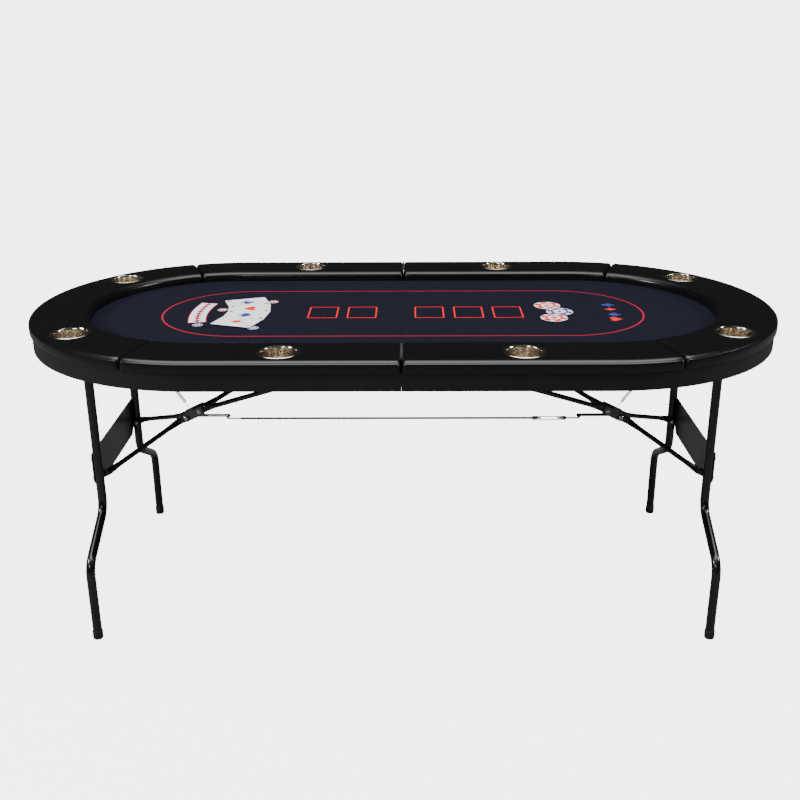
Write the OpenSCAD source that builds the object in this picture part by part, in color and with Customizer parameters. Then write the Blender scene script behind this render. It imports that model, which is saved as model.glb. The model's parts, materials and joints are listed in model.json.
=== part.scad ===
// Folding eight-seat poker table. Two half tops are hinged together at mid length. Each half
// carries a folding leg frame, a V brace with a knee, and a tie wire joins the two knees.
// Origin on the floor under the middle, +X along the length, +Y to the rear, millimetres.

/* [Table] */
// Length over the padded rails
table_l = 1840; // [1790:10:2300]
// Width over the padded rails
table_w = 930; // [900:10:1150]
// Height of the rail top above the floor
table_h = 760; // [620:5:785]

/* [Rail and apron] */
// Width of the padded rail
rail_w = 142; // [116:2:172]
// Thickness of the padded rail
rail_t = 29; // [24:1:36]
// Radius of the rail's rolled edges
rail_round = 11; // [6:1:12]
// Depth of the apron below the rail
apron_h = 41; // [40:1:60]
// Thickness of the apron wall
apron_t = 12; // [9:1:15]
// Thickness of the table board
board_t = 14; // [10:1:15]
// Thickness of the felt and its foam
felt_t = 4.5; // [3:0.5:8]

/* [Cup holders] */
// Outer diameter of the cup's rim
cup_rim_d = 94; // [90:1:104]
// Outer diameter of the cup's wall
cup_d = 80; // [66:1:82]
// Depth of the cup below the rail top
cup_depth = 57; // [50:1:62]

/* [Leg frames] */
// Distance of each leg frame from the end of the table
leg_inset = 167; // [150:1:180]
// Half the distance between the legs at their hinge
leg_y = 190; // [165:1:200]
// Half the distance between the feet
foot_y = 341; // [300:1:341]
// Diameter of the leg tube
leg_d = 22; // [18:0.5:22]
// Height where the legs start to splay
splay_z = 310; // [260:5:330]

/* [Braces] */
// Diameter of the brace tube
brace_d = 13; // [11:0.5:14]
// Distance of the brace brackets from mid length
brace_x = 50; // [46:1:90]
// Half the distance between the brace brackets
brace_y = 270; // [225:1:300]
// Height of the brace pins on the legs, as a share of the leg hinge height
brace_share = 0.52; // [0.45:0.01:0.56]

/* [Hidden] */
$fn = 64;

// Top
arc_x = table_l / 2 - table_w / 2;      // centre of each round end
outer_r = table_w / 2;
inner_r = outer_r - rail_w;
rail_z = table_h - rail_t;              // underside of the rails
board_z = rail_z - board_t;             // underside of the boards
apron_z = rail_z - apron_h;             // lower edge of the apron
apron_inset = 5;
apron_r = outer_r - apron_inset;
board_r = apron_r - apron_t;
felt_gap = 0.3;
seam_gap = 0.15;                        // half the gap between the two half tops
batten_t = 18;
rail_end = 3.2;                         // where the straight rails stop, from mid length
rail_seam_a = 71;                       // rail seams, from the length axis
seam_a = 0.15;                          // half the seam's opening

// Cups
cup_wall = 0.8;
cup_rim_t = 0.9;
cup_side_x = 266;
cup_arc_a = 40;
cup_clear = 1;
cup_notch_r = cup_d / 2 + 10;           // notches in the board's edge, round the cups
cup_r = outer_r - 66;                   // the cups' distance from the rail's centre of curvature

// Top hinge
hinge_z = table_h + 1.3;
hinge_r = 2.5;
hinge_pin_r = 1.2;
hinge_clear = 0.15;
hinge_y = outer_r - rail_w / 2;
knuckle_l = 18;
knuckle_n = 5;
leaf_t = 2;
leaf_h = 24;

// Leg frames
leg_x = table_l / 2 - leg_inset;
leg_wall = 1.4;
pivot_z = board_z - 13;                 // hinge height of the leg frames
pivot_clear = 0.3;
saddle_t = 2.5;
saddle_w = 24;
saddle_y = leg_y - 40;
saddle_foot = 28;
bend_r = 50;
splay_a = 62;
bend_dy = bend_r * (1 - cos(splay_a));
bend_dz = bend_r * sin(splay_a);
slant_l = (foot_y - leg_y - 2 * bend_dy) / sin(splay_a);
weld_in = 4;                            // the leg's weld bites this far into the hinge tube
bend_steps = 8;
cap_floor = 3;
cap_h = 24;
cap_wall = 1.5;
plate_t = 2.5;
plate_h = 98;
plate_z = splay_z + 22;
plate_corner = 26;
plate_half = leg_y + 7;

// Brace linkage. With the frame down, the two braces are in line. Folded, both lie
// level with the leg hinge, the short one doubled back on the long one.
lug_z = brace_share * pivot_z;          // brace pins on the legs
lug_drop = pivot_z - lug_z;
span_x = leg_x - brace_x;
span_down = norm([span_x, lug_drop]);
span_folded = span_x - lug_drop;
upper_brace_l = (span_down + span_folded) / 2;
lower_brace_l = (span_down - span_folded) / 2;
brace_a = atan2(lug_drop, span_x);
knee_x = leg_x - lower_brace_l * cos(brace_a);
knee_z = lug_z + lower_brace_l * sin(brace_a);
tab_t = 4;
tab_r = 9;
tab_l = 28;
knee_tab_t = 3;
pin_r = 4;
pin_clear = 0.2;
side_clear = 0.5;
leg_tab_y = leg_y - leg_d / 2 - 1 - tab_t / 2;
cheek_in = 16;
cheek_t = 3;
cheek_l = 50;
cheek_r = 11;
lug_from = 10;                          // the knee's spacer, from the knee pin
lug_to = 24;
rivet_at = 38;
knee_tab_y = cheek_in + cheek_t + side_clear + knee_tab_t / 2;
inner_tab_y = cheek_in - side_clear - knee_tab_t / 2;
rivet_head_r = 6;
rivet_head_h = 2;
rivet_sink = 2;                         // the knee rivets are flush, so the lower braces pass them
bracket_t = 2.5;
bracket_half = 16;

// Tie wire between the knees
tie_z = knee_z - 3;
tie_pin_r = 2.3;
tie_pin_tip = -5;
tie_bar_r = 4;
tie_bar_y = 8;
tie_r = 2;
hook_r = 5.5;
plate_reach = sqrt(pow(pivot_z - plate_z + 1, 2) - pow(pivot_z - tie_z, 2));
tie_pin_x = leg_x - plate_reach - 20;
hook_l = 30;
wire_z = tie_z - hook_r;
buckle_l = 90;
buckle_r = 5.5;

// Springs
spring_r = 4.5;
spring_wire_r = 1;
spring_l = 70;
spring_along = (lug_from + lug_to) / 2;
spring_above = cheek_r + spring_wire_r + 0.5;
spring_low = [-knee_x + spring_along * cos(brace_a) - spring_above * sin(brace_a), 0,
              knee_z + spring_along * sin(brace_a) + spring_above * cos(brace_a)];
spring_high = [-leg_x + 31, 0, board_z - spring_wire_r - 0.2];

// Every module below draws the left half, rear side first. These place the other three.
module right() mirror([1, 0, 0]) children();
module front() mirror([0, 1, 0]) children();
module front_and_rear() {
    children();
    front() children();
}

// A round bar from p to q
module rod(p, q, r) {
    v = q - p;
    l = norm(v);
    translate(p) rotate([0, acos(v.z / l), atan2(v.y, v.x)]) cylinder(r = r, h = l);
}

// A round tube of radius r and n sides along a path in the XY plane
module bent_tube(path, r, n) {
    last = len(path) - 1;
    points = [
        for (i = [0 : last])
            let (v = path[min(i + 1, last)] - path[max(i - 1, 0)], side = [-v.y, v.x] / norm(v))
            for (k = [0 : n - 1]) let (a = 360 * k / n)
                [path[i].x + side.x * r * cos(a), path[i].y + side.y * r * cos(a), r * sin(a)]
    ];
    polyhedron(points, concat(
        [[for (k = [0 : n - 1]) k]],
        [for (i = [0 : last - 1], k = [0 : n - 1]) let (m = (k + 1) % n)
            [i * n + k, (i + 1) * n + k, (i + 1) * n + m, i * n + m]],
        [[for (k = [n - 1 : -1 : 0]) last * n + k]]
    ));
}

// Outline of one half top of half width r, stopping short of mid length by gap
module half_outline(r, gap) {
    translate([-arc_x, 0]) intersection() {
        circle(r, $fn = 128);
        translate([-r, -r]) square([r, 2 * r]);
    }
    translate([-arc_x, -r]) square([arc_x - gap, 2 * r]);
}

module cup_places() {
    translate([-cup_side_x, cup_r, 0]) children();
    translate([-arc_x, 0, 0]) rotate([0, 0, 90 - cup_arc_a]) translate([0, cup_r, 0]) children();
}

module cup_bores() {
    front_and_rear() cup_places()
        translate([0, 0, board_z - 1]) cylinder(r = cup_d / 2 + cup_clear, h = table_h - board_z + 2);
}

// Open notches in the board's edge, with room for a hand round each cup
module cup_notches() front_and_rear() cup_places()
    translate([0, 0, board_z - 1]) linear_extrude(board_t + 2) {
        intersection() {
            circle(cup_notch_r);
            translate([-cup_notch_r, -cup_notch_r]) square([2 * cup_notch_r, cup_notch_r]);
        }
        translate([-cup_notch_r, 0]) square([2 * cup_notch_r, outer_r - cup_r]);
    }

module board() color("#2b2622") difference() {
    translate([0, 0, board_z]) linear_extrude(board_t) half_outline(board_r, seam_gap);
    cup_notches();
}

module felt() color("#232438")
    translate([0, 0, rail_z]) linear_extrude(felt_t) half_outline(inner_r - felt_gap, seam_gap);

module apron() color("#1d1d1f") translate([0, 0, apron_z]) linear_extrude(apron_h) difference() {
    half_outline(apron_r, seam_gap);
    half_outline(apron_r - apron_t, -1);
}

module batten() color("#2b2622") translate([-seam_gap - batten_t, -board_r, apron_z + 2])
    cube([batten_t, 2 * board_r, board_z - apron_z - 2]);

// Cross-section of the padded rail, measured from its centre of curvature
module rail_profile() translate([inner_r, rail_z]) {
    r = rail_round;
    translate([r, 0]) square([rail_w - 2 * r, rail_t]);
    translate([0, r]) square([rail_w, rail_t - 2 * r]);
    for (x = [r, rail_w - r], y = [r, rail_t - r]) translate([x, y]) circle(r);
}

module rail_arc(from, to) translate([-arc_x, 0, 0]) rotate([0, 0, from])
    rotate_extrude(angle = to - from, $fn = 128) rail_profile();

module end_rail() color("#141415") difference() {
    rail_arc(180 - rail_seam_a + seam_a, 180 + rail_seam_a - seam_a);
    cup_bores();
}

module side_rail() color("#141415") difference() {
    union() {
        rail_arc(90, 180 - rail_seam_a - seam_a);
        translate([-arc_x, 0, 0]) rotate([90, 0, 90]) linear_extrude(arc_x - rail_end) rail_profile();
    }
    cup_bores();
}

// Stainless cup: a rim on the rail, a thin wall and a floor
module cup() color("#b8aea4") translate([0, 0, table_h]) rotate_extrude() {
    translate([cup_d / 2 - cup_wall, 0]) square([(cup_rim_d - cup_d) / 2 + cup_wall, cup_rim_t]);
    translate([cup_d / 2 - cup_wall, -cup_depth]) square([cup_wall, cup_depth + cup_rim_t]);
    translate([0, -cup_depth]) square([cup_d / 2, cup_wall]);
}

module side_cup() translate([-cup_side_x, cup_r, 0]) cup();
module end_cup() translate([-arc_x - cup_r * cos(cup_arc_a), cup_r * sin(cup_arc_a), 0]) cup();

function knuckle_y(i) = (i - knuckle_n / 2) * knuckle_l;

// One leaf of each top hinge with its knuckles; own picks every second knuckle
module hinge_leaves(own) color("#3a3a3c") front_and_rear() translate([0, hinge_y, 0]) difference() {
    union() {
        translate([-rail_end, -knuckle_n * knuckle_l / 2, hinge_z - 3 - leaf_h])
            cube([leaf_t, knuckle_n * knuckle_l, leaf_h]);
        for (i = [own : 2 : knuckle_n - 1]) translate([0, knuckle_y(i) + hinge_clear, hinge_z]) {
            rotate([-90, 0, 0]) cylinder(r = hinge_r, h = knuckle_l - 2 * hinge_clear);
            translate([-hinge_r, 0, -hinge_r - 2])
                cube([hinge_r - seam_gap, knuckle_l - 2 * hinge_clear, hinge_r + 2]);
        }
    }
    translate([0, -knuckle_n * knuckle_l / 2 - 1, hinge_z]) rotate([-90, 0, 0])
        cylinder(r = hinge_pin_r + hinge_clear, h = knuckle_n * knuckle_l + 2);
}

module hinge_pins() color("#8d8d90") front_and_rear()
    translate([0, hinge_y - knuckle_n * knuckle_l / 2, hinge_z])
        rotate([-90, 0, 0]) cylinder(r = hinge_pin_r, h = knuckle_n * knuckle_l);

// Saddles that hold the leg hinge tube under the board
module leg_clamps() color("#3a3a3c") front_and_rear()
    translate([-leg_x, saddle_y + saddle_w / 2, pivot_z]) rotate([90, 0, 0]) linear_extrude(saddle_w)
        difference() {
            r = leg_d / 2 + pivot_clear + saddle_t;
            union() {
                circle(r);
                translate([-r, 0]) square([2 * r, board_z - pivot_z]);
                translate([-saddle_foot, board_z - pivot_z - saddle_t])
                    square([2 * saddle_foot, saddle_t]);
            }
            circle(leg_d / 2 + pivot_clear);
            translate([-r, board_z - pivot_z]) square([2 * r, r]);
        }

module leg_ring() difference() {
    circle(leg_d / 2);
    circle(leg_d / 2 - leg_wall);
}

// Centreline of one leg in the YZ plane, from its weld on the hinge tube down to the foot cap
function leg_path() =
    let (end_z = splay_z - 2 * bend_dz - slant_l * cos(splay_a))
    concat(
        [[leg_y, pivot_z - weld_in]],
        [for (i = [0 : bend_steps]) let (a = splay_a * i / bend_steps)
            [leg_y + bend_r * (1 - cos(a)), splay_z - bend_r * sin(a)]],
        [for (i = [0 : bend_steps]) let (a = splay_a * (1 - i / bend_steps))
            [foot_y - bend_r * (1 - cos(a)), end_z + bend_r * sin(a)]],
        [[foot_y, cap_floor]]
    );

module leg() color("#101012") translate([-leg_x, 0, 0]) rotate([90, 0, 90])
    bent_tube(leg_path(), leg_d / 2, 24);

module leg_crossbar() color("#101012") translate([-leg_x, -leg_y - leg_d / 2, pivot_z])
    rotate([-90, 0, 0]) linear_extrude(2 * leg_y + leg_d) leg_ring();

module leg_plate() color("#2c2d30")
    translate([-leg_x - leg_d / 2 - plate_t, 0, plate_z]) rotate([90, 0, 90]) linear_extrude(plate_t)
        polygon([
            [-plate_half, plate_corner], [-plate_half + plate_corner, 0],
            [plate_half - plate_corner, 0], [plate_half, plate_corner],
            [plate_half, plate_h], [-plate_half, plate_h]
        ]);

module foot_caps() color("#0c0c0c") front_and_rear() translate([-leg_x, foot_y, 0]) difference() {
    cylinder(r = leg_d / 2 + cap_wall, h = cap_h);
    translate([0, 0, cap_floor]) cylinder(d = leg_d, h = cap_h);
}

// Pins for the lower braces, coped to the leg tube, and the rivets of the cross plate
module leg_pins() color("#a9abad") front_and_rear() {
    pin_y = leg_tab_y - tab_t / 2 - side_clear;
    difference() {
        union() {
            translate([-leg_x, pin_y, lug_z]) rotate([-90, 0, 0]) cylinder(r = pin_r, h = leg_y - pin_y);
            translate([-leg_x, pin_y - rivet_head_h, lug_z])
                rotate([-90, 0, 0]) cylinder(r = rivet_head_r, h = rivet_head_h);
        }
        translate([-leg_x, leg_y, lug_z - leg_d]) cylinder(d = leg_d, h = 2 * leg_d);
    }
    for (z = [plate_z + plate_corner + 8, plate_z + plate_h - 14])
        translate([-leg_x - leg_d / 2 - plate_t - rivet_head_h, leg_y, z])
            rotate([0, 90, 0]) cylinder(r = rivet_head_r, h = rivet_head_h);
}

// Flattened end of a brace: round about the origin in the XZ plane, running along +x
module tab(t, l) rotate([90, 0, 0]) linear_extrude(t, center = true) {
    circle(tab_r);
    translate([0, -tab_r]) square([l, 2 * tab_r]);
}

module pin_bore(t) rotate([90, 0, 0]) cylinder(r = pin_r + pin_clear, h = t + 2, center = true);

// The lower brace runs along +x from the leg pin to the knee
module lower_brace() color("#101012")
    translate([-leg_x, 0, lug_z]) rotate([0, -brace_a, 0]) difference() {
        union() {
            translate([0, leg_tab_y, 0]) tab(tab_t, tab_l);
            translate([lower_brace_l, knee_tab_y, 0]) mirror([1, 0, 0]) tab(knee_tab_t, tab_l);
            rod([16, leg_tab_y - tab_t, 0], [lower_brace_l - 16, knee_tab_y + 6, 0], brace_d / 2);
            translate([lower_brace_l, knee_tab_y + knee_tab_t / 2, 0])
                rotate([-90, 0, 0]) cylinder(r = rivet_head_r, h = rivet_head_h);
        }
        translate([0, leg_tab_y, 0]) pin_bore(tab_t);
    }

// The upper brace runs along +x from its bracket under the board to the knee
module at_bracket() translate([-brace_x, 0, pivot_z]) rotate([0, 180 - brace_a, 0]) children();

module upper_brace() color("#101012") at_bracket() difference() {
    union() {
        translate([0, brace_y, 0]) tab(tab_t, tab_l);
        translate([upper_brace_l - rivet_at, inner_tab_y, 0]) mirror([1, 0, 0]) tab(knee_tab_t, tab_l);
        rod([20, brace_y - 6, 0], [upper_brace_l - cheek_l - 8, inner_tab_y + 3, 0], brace_d / 2);
    }
    translate([0, brace_y, 0]) pin_bore(tab_t);
    translate([upper_brace_l - rivet_at, inner_tab_y, 0])
        rotate([90, 0, 0]) cylinder(r = pin_r, h = 2 * knee_tab_t, center = true);
}

module knee_bracket() color("#2c2d30") difference() {
    at_bracket() {
        for (s = [-1, 1]) difference() {
            translate([upper_brace_l, s * (cheek_in + cheek_t / 2), 0])
                rotate([90, 0, 0]) linear_extrude(cheek_t, center = true) {
                    circle(cheek_r);
                    translate([-cheek_l, -cheek_r]) square([cheek_l, 2 * cheek_r]);
                }
            translate([upper_brace_l - rivet_at, s * (cheek_in + cheek_t / 2), 0])
                rotate([90, 0, 0]) cylinder(r = pin_r, h = 2 * cheek_t, center = true);
            translate([upper_brace_l - rivet_at, s * (cheek_in + cheek_t - rivet_sink), 0])
                rotate([-90 * s, 0, 0]) cylinder(r1 = pin_r, r2 = rivet_head_r, h = rivet_sink);
        }
        translate([upper_brace_l - lug_to, -cheek_in, -cheek_r])
            cube([lug_to - lug_from, 2 * cheek_in, 2 * cheek_r]);
    }
    tie_rod();
}

module knee_rivets() color("#a9abad") at_bracket() front_and_rear()
    translate([upper_brace_l - rivet_at, 0, 0]) rotate([-90, 0, 0]) {
        head = cheek_in + cheek_t;
        tail = inner_tab_y - knee_tab_t / 2;
        translate([0, 0, tail]) cylinder(r = pin_r, h = head - rivet_sink - tail);
        translate([0, 0, head - rivet_sink]) cylinder(r1 = pin_r, r2 = rivet_head_r, h = rivet_sink);
        translate([0, 0, tail - 1]) cylinder(r = rivet_head_r - 1, h = 1);
    }

// Brackets under the board, each with the pin of its upper brace
module brace_brackets() color("#2c2d30") front_and_rear() translate([-brace_x, brace_y, pivot_z]) {
    inner = tab_t / 2 + side_clear;
    difference() {
        translate([-bracket_half, -inner - bracket_t, -tab_r])
            cube([2 * bracket_half, 2 * (inner + bracket_t), board_z - pivot_z + tab_r]);
        translate([-bracket_half - 1, -inner, -tab_r - 1])
            cube([2 * bracket_half + 2, 2 * inner, board_z - pivot_z - bracket_t + tab_r + 1]);
    }
    rotate([90, 0, 0]) cylinder(r = pin_r, h = 2 * (inner + bracket_t) + 2, center = true);
}

module tie_rod() rod([-knee_x + 13, tie_bar_y, tie_z], [-tie_pin_x + tie_pin_r, tie_bar_y, tie_z], tie_bar_r);

module tie_bar(tint) color(tint) {
    tie_rod();
    translate([-tie_pin_x, tie_pin_tip, tie_z])
        rotate([-90, 0, 0]) cylinder(r = tie_pin_r, h = tie_bar_y - tie_pin_tip);
}

// An open hook at the wire's left end, under the pin of the tie bar
module tie_hook() translate([-tie_pin_x, 0, tie_z]) rotate([90, 0, 0])
    bent_tube(concat(
        [for (i = [0 : bend_steps]) let (a = 185 + 85 * i / bend_steps) hook_r * [cos(a), sin(a)]],
        [[hook_l, -hook_r]]
    ), tie_r, 12);

module tie_hooks() color("#a9abad") {
    tie_hook();
    right() tie_hook();
}

module tie_wire() color("#1a1a1c") translate([-tie_pin_x + hook_l, 0, wire_z])
    rotate([0, 90, 0]) cylinder(r = tie_r, h = 2 * (tie_pin_x - hook_l) - buckle_l, $fn = 32);

// Open-bodied turnbuckle at the wire's right end
module turnbuckle() color("#a9abad")
    translate([tie_pin_x - hook_l - buckle_l, 0, wire_z]) difference() {
        rotate([0, 90, 0]) cylinder(r = buckle_r, h = buckle_l);
        translate([14, -buckle_r - 1, -2.5]) cube([buckle_l - 28, 2 * buckle_r + 2, 5]);
    }

// Extension spring from the knee up to the board, drawn as its outer shape
module spring() color("#9a9c9f") {
    v = (spring_high - spring_low) / norm(spring_high - spring_low);
    coil_end = spring_low + v * (spring_l + 20);
    rod(spring_low, spring_low + v * 21, spring_wire_r);
    rod(spring_low + v * 20, coil_end, spring_r);
    rod(coil_end - v, spring_high, spring_wire_r);
}

board();  // left_board
right() board();  // right_board
felt();  // left_felt
right() felt();  // right_felt
apron();  // left_apron
right() apron();  // right_apron
batten();  // left_batten
right() batten();  // right_batten
end_rail();  // left_end_rail
right() end_rail();  // right_end_rail
front() side_rail();  // left_front_rail
side_rail();  // left_rear_rail
right() front() side_rail();  // right_front_rail
right() side_rail();  // right_rear_rail
front() side_cup();  // left_front_cup
side_cup();  // left_rear_cup
right() front() side_cup();  // right_front_cup
right() side_cup();  // right_rear_cup
front() end_cup();  // left_end_front_cup
end_cup();  // left_end_rear_cup
right() front() end_cup();  // right_end_front_cup
right() end_cup();  // right_end_rear_cup
hinge_leaves(0);  // left_hinge_leaves
right() hinge_leaves(1);  // right_hinge_leaves
hinge_pins();
leg_clamps();  // left_leg_clamps
right() leg_clamps();  // right_leg_clamps
brace_brackets();  // left_brace_brackets
right() brace_brackets();  // right_brace_brackets
front() leg();  // left_front_leg
leg();  // left_rear_leg
right() front() leg();  // right_front_leg
right() leg();  // right_rear_leg
leg_crossbar();  // left_leg_crossbar
right() leg_crossbar();  // right_leg_crossbar
leg_plate();  // left_leg_plate
right() leg_plate();  // right_leg_plate
foot_caps();  // left_foot_caps
right() foot_caps();  // right_foot_caps
leg_pins();  // left_leg_pins
right() leg_pins();  // right_leg_pins
front() lower_brace();  // left_front_lower_brace
lower_brace();  // left_rear_lower_brace
right() front() lower_brace();  // right_front_lower_brace
right() lower_brace();  // right_rear_lower_brace
front() upper_brace();  // left_front_upper_brace
upper_brace();  // left_rear_upper_brace
right() front() upper_brace();  // right_front_upper_brace
right() upper_brace();  // right_rear_upper_brace
knee_bracket();  // left_knee_bracket
right() knee_bracket();  // right_knee_bracket
knee_rivets();  // left_knee_rivets
right() knee_rivets();  // right_knee_rivets
tie_bar("#a9abad");  // left_tie_bar
right() tie_bar("#101012");  // right_tie_bar
spring();  // left_spring
right() spring();  // right_spring
tie_wire();
tie_hooks();
turnbuckle();
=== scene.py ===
"""Looks of the folding poker table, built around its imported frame.

Every size is in metres and comes from the frame's own nodes.
"""

import json
import logging
from dataclasses import dataclass, field
from enum import Enum
from math import cos, hypot, pi, radians, sin
from typing import Callable, Iterable, Sequence

import bpy
from mathutils import Matrix, Vector


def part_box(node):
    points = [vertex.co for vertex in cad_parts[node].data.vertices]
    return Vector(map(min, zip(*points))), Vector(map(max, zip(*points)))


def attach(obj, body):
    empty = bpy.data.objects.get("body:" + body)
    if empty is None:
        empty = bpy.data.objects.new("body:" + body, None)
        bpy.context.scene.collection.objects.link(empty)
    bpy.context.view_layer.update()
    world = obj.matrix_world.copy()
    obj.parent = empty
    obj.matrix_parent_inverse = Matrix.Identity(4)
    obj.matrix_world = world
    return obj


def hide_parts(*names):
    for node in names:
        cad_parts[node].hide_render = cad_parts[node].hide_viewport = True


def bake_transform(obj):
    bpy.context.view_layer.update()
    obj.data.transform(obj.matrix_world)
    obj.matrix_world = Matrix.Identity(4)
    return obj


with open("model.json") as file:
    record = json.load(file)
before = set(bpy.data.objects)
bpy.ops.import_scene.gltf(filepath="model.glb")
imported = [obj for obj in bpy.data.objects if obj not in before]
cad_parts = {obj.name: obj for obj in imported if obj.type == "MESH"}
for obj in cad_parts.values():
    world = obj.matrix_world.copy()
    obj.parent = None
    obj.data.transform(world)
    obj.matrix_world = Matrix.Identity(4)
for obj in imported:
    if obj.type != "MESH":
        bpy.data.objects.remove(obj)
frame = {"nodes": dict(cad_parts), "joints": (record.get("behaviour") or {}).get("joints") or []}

log = logging.getLogger("poker_table")
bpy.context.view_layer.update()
Point2 = tuple[float, float]
MM = 0.001


class Side(Enum):
    """The two half tops: the sign of X on each."""

    LEFT = -1
    RIGHT = 1

    @property
    def word(self) -> str:
        """The side's name as nodes and bodies spell it."""
        return self.name.lower()


class Row(Enum):
    """Front and rear: the sign of Y."""

    FRONT = -1
    REAR = 1

    @property
    def word(self) -> str:
        """The row's name as nodes spell it."""
        return self.name.lower()


# ---------------------------------------------------------------- shader node groups


def make_group(name: str, inputs: dict[str, float], outputs: dict[str, str]) -> bpy.types.NodeTree:
    """Makes an empty shader node group.

    Args:
        name: The group's name.
        inputs: Each float input's name and default.
        outputs: Each output's name and socket type.

    Returns:
        The group, with its input and output nodes named "in" and "out".
    """
    tree = bpy.data.node_groups.new(name, "ShaderNodeTree")
    for label, value in inputs.items():
        socket = tree.interface.new_socket(label, in_out="INPUT", socket_type="NodeSocketFloat")
        socket.default_value = value
    for label, kind in outputs.items():
        tree.interface.new_socket(label, in_out="OUTPUT", socket_type=kind)
    tree.nodes.new("NodeGroupInput").name = "in"
    tree.nodes.new("NodeGroupOutput").name = "out"
    return tree


def mottle_group() -> bpy.types.NodeTree:
    """Builds the slow cloudy variation that handling and dust leave on a surface.

    Returns:
        A group with Scale, Base and Spread in, and Rough and Mask out.
    """
    tree = make_group("handling_mottle", {"Scale": 9.0, "Base": 0.3, "Spread": 0.1},
                      {"Rough": "NodeSocketFloat", "Mask": "NodeSocketFloat"})
    nodes, links = tree.nodes, tree.links
    place = nodes.new("ShaderNodeTexCoord")
    cloud = nodes.new("ShaderNodeTexNoise")
    cloud.inputs["Detail"].default_value = 5.0
    cloud.inputs["Roughness"].default_value = 0.6
    centred = nodes.new("ShaderNodeMath")
    centred.operation = "SUBTRACT"
    centred.inputs[1].default_value = 0.5
    spread = nodes.new("ShaderNodeMath")
    spread.operation = "MULTIPLY_ADD"
    links.new(place.outputs["Object"], cloud.inputs["Vector"])
    links.new(nodes["in"].outputs["Scale"], cloud.inputs["Scale"])
    links.new(cloud.outputs["Fac"], centred.inputs[0])
    links.new(centred.outputs[0], spread.inputs[0])
    links.new(nodes["in"].outputs["Spread"], spread.inputs[1])
    links.new(nodes["in"].outputs["Base"], spread.inputs[2])
    links.new(spread.outputs[0], nodes["out"].inputs["Rough"])
    links.new(cloud.outputs["Fac"], nodes["out"].inputs["Mask"])
    return tree


def grain_group() -> bpy.types.NodeTree:
    """Builds a fine pebble height for vinyl, rubber, powder coat and cast finishes.

    Returns:
        A group with Scale and Fine in, and Height out.
    """
    tree = make_group("pebble_grain", {"Scale": 900.0, "Fine": 0.5}, {"Height": "NodeSocketFloat"})
    nodes, links = tree.nodes, tree.links
    place = nodes.new("ShaderNodeTexCoord")
    cells = nodes.new("ShaderNodeTexVoronoi")
    dust = nodes.new("ShaderNodeTexNoise")
    dust.inputs["Detail"].default_value = 3.0
    blend = nodes.new("ShaderNodeMix")
    blend.data_type = "FLOAT"
    for texture in (cells, dust):
        links.new(place.outputs["Object"], texture.inputs["Vector"])
        links.new(nodes["in"].outputs["Scale"], texture.inputs["Scale"])
    links.new(nodes["in"].outputs["Fine"], blend.inputs["Factor"])
    links.new(cells.outputs["Distance"], blend.inputs["A"])
    links.new(dust.outputs["Fac"], blend.inputs["B"])
    links.new(blend.outputs["Result"], nodes["out"].inputs["Height"])
    return tree


def streak_group() -> bpy.types.NodeTree:
    """Builds long fine streaks, for brushed metal, wood grain and felt nap.

    Returns:
        A group with Along, Across and Up in, the scales on X, Y and Z, and Height out.
    """
    tree = make_group("fine_streaks", {"Along": 5.0, "Across": 300.0, "Up": 300.0},
                      {"Height": "NodeSocketFloat"})
    nodes, links = tree.nodes, tree.links
    place = nodes.new("ShaderNodeTexCoord")
    scales = nodes.new("ShaderNodeCombineXYZ")
    stretch = nodes.new("ShaderNodeVectorMath")
    stretch.operation = "MULTIPLY"
    lines = nodes.new("ShaderNodeTexNoise")
    lines.inputs["Scale"].default_value = 1.0
    lines.inputs["Detail"].default_value = 4.0
    for label, axis in (("Along", "X"), ("Across", "Y"), ("Up", "Z")):
        links.new(nodes["in"].outputs[label], scales.inputs[axis])
    links.new(place.outputs["Object"], stretch.inputs[0])
    links.new(scales.outputs["Vector"], stretch.inputs[1])
    links.new(stretch.outputs["Vector"], lines.inputs["Vector"])
    links.new(lines.outputs["Fac"], nodes["out"].inputs["Height"])
    return tree


GROUPS = {"mottle": mottle_group(), "grain": grain_group(), "streak": streak_group()}


# ---------------------------------------------------------------- finishes


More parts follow.
